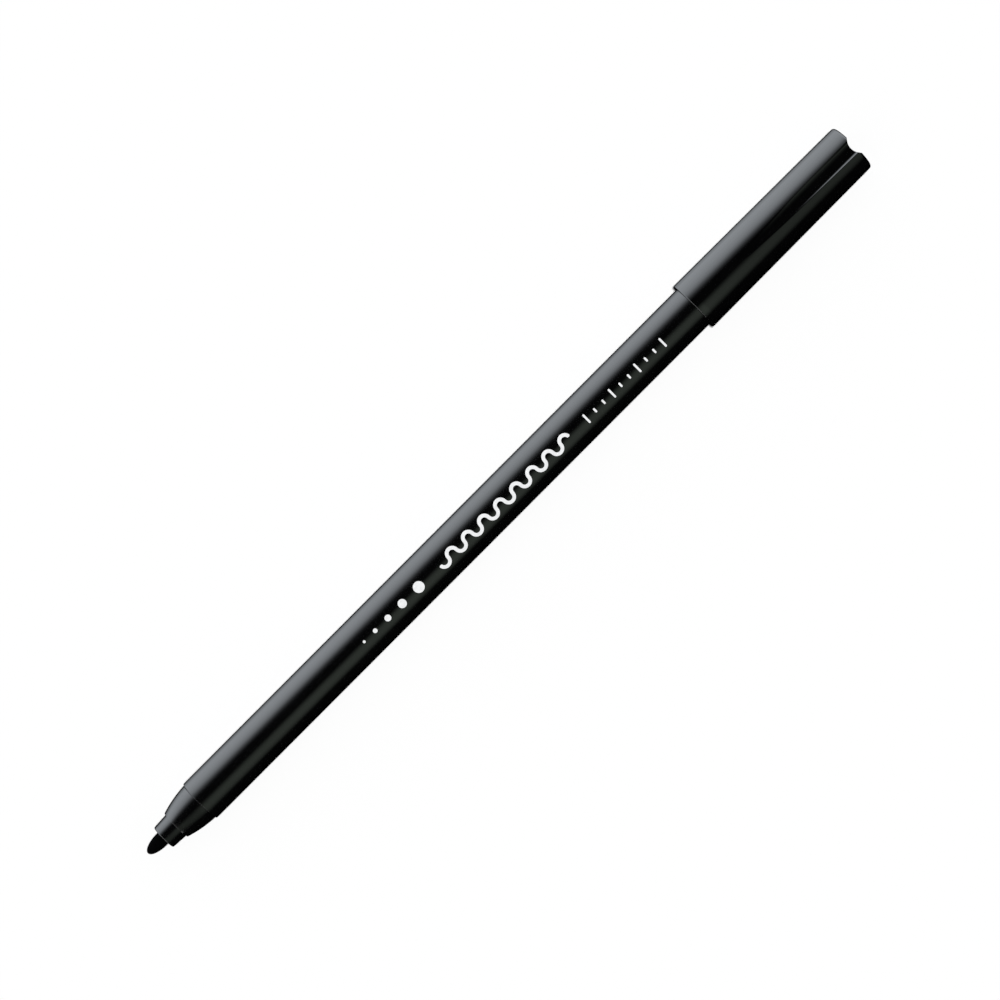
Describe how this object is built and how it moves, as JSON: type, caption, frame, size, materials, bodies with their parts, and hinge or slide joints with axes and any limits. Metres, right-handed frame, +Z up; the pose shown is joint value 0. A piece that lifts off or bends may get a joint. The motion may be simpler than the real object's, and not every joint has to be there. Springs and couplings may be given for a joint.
{
  "type": "felt-tip pen",
  "caption": "Slim black felt-tip pen with a round barrel, stepped nose and bullet fibre nib; its fluted pull-off cap is pushed onto the rear end.",
  "frame": {"origin": "on the table, under the middle of the pen with its cap pushed onto the rear", "axes": "+X along the pen from nib to cap, +Z up off the table, the cap's flutes face up and down"},
  "size_m": [0.1676, 0.0096, 0.0095],
  "materials": {
    "barrel_plastic": "satin gloss black",
    "plug_plastic": "satin black",
    "nose_plastic": "satin gloss black",
    "nib_fibre": "inked fibre",
    "core_fibre": "inked fibre",
    "film_plastic": "thin film",
    "breather_plastic": "smooth",
    "cap_plastic": "gloss black",
    "liner_plastic": "natural"
  },
  "bodies": {
    "pen": {"barrel": "barrel_plastic", "end_plug": "plug_plastic", "nose_section": "nose_plastic", "nib": "nib_fibre", "reservoir_core": "core_fibre", "reservoir_film": "film_plastic", "breather_tube": "breather_plastic"},
    "cap": {"cap_shell": "cap_plastic", "inner_cap": "liner_plastic"}
  },
  "joints": [
    {"name": "cap_slide", "type": "slide", "parent": "pen", "child": "cap", "axis": [1, 0, 0], "range_m": [0, 0.03]}
  ]
}
